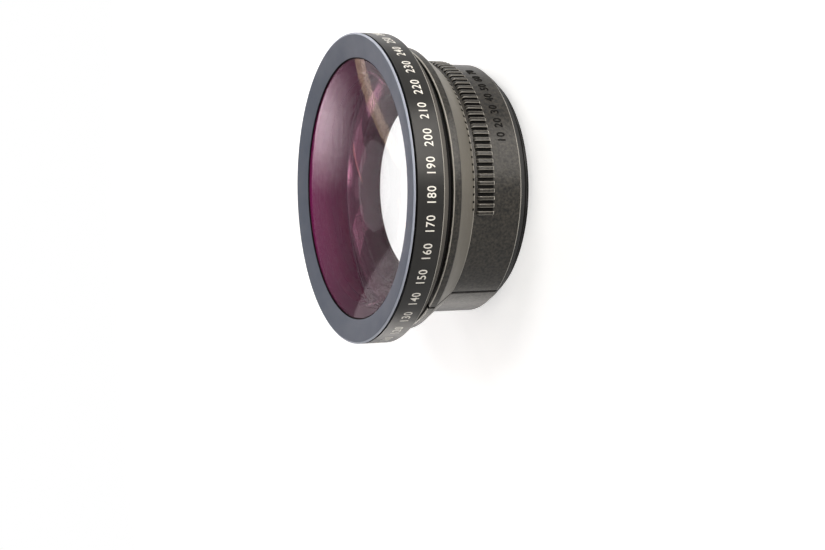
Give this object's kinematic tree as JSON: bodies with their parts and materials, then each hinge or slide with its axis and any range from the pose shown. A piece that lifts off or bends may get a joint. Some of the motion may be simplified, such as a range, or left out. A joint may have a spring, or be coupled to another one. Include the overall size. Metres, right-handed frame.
{
  "type": "wide-angle conversion lens",
  "caption": "Wide-angle conversion lens: bulging front element in a screwed bezel, stepped name ring, ribbed split grip cover and a rear filter-thread mount.",
  "frame": {"origin": "centre of the mount thread's end face, which the lens stands on", "axes": "+Z along the optical axis towards the front glass; +X and +Y across it"},
  "size_m": [0.0778, 0.0778, 0.0363],
  "materials": {
    "bezel": "blue-grey anodised, satin",
    "ring": "black anodised, satin",
    "cover": "moulded, fine texture",
    "barrel": "black anodised, matt",
    "mount": "black anodised, satin",
    "cell": "blackened",
    "shim": "spring steel",
    "screw": "bright steel",
    "seal": "matt",
    "mask": "black film",
    "front_glass": "coated, magenta reflection",
    "rear_glass": "coated"
  },
  "bodies": {
    "root": {"front_bezel": "bezel", "name_ring": "ring", "front_element": "front_glass", "front_gasket": "seal", "light_mask": "mask", "set_screw_1": "screw", "set_screw_2": "screw", "set_screw_3": "screw", "main_barrel": "barrel", "cell_shim": "shim", "rear_cell": "cell", "rear_element_negative": "rear_glass", "rear_element_positive": "rear_glass", "rear_retainer": "cell", "mount_ring": "mount", "grip_cover_upper": "cover", "grip_cover_lower": "cover", "cover_screw_1": "screw", "cover_screw_2": "screw", "cover_screw_3": "screw", "cover_screw_4": "screw"}
  },
  "joints": []
}
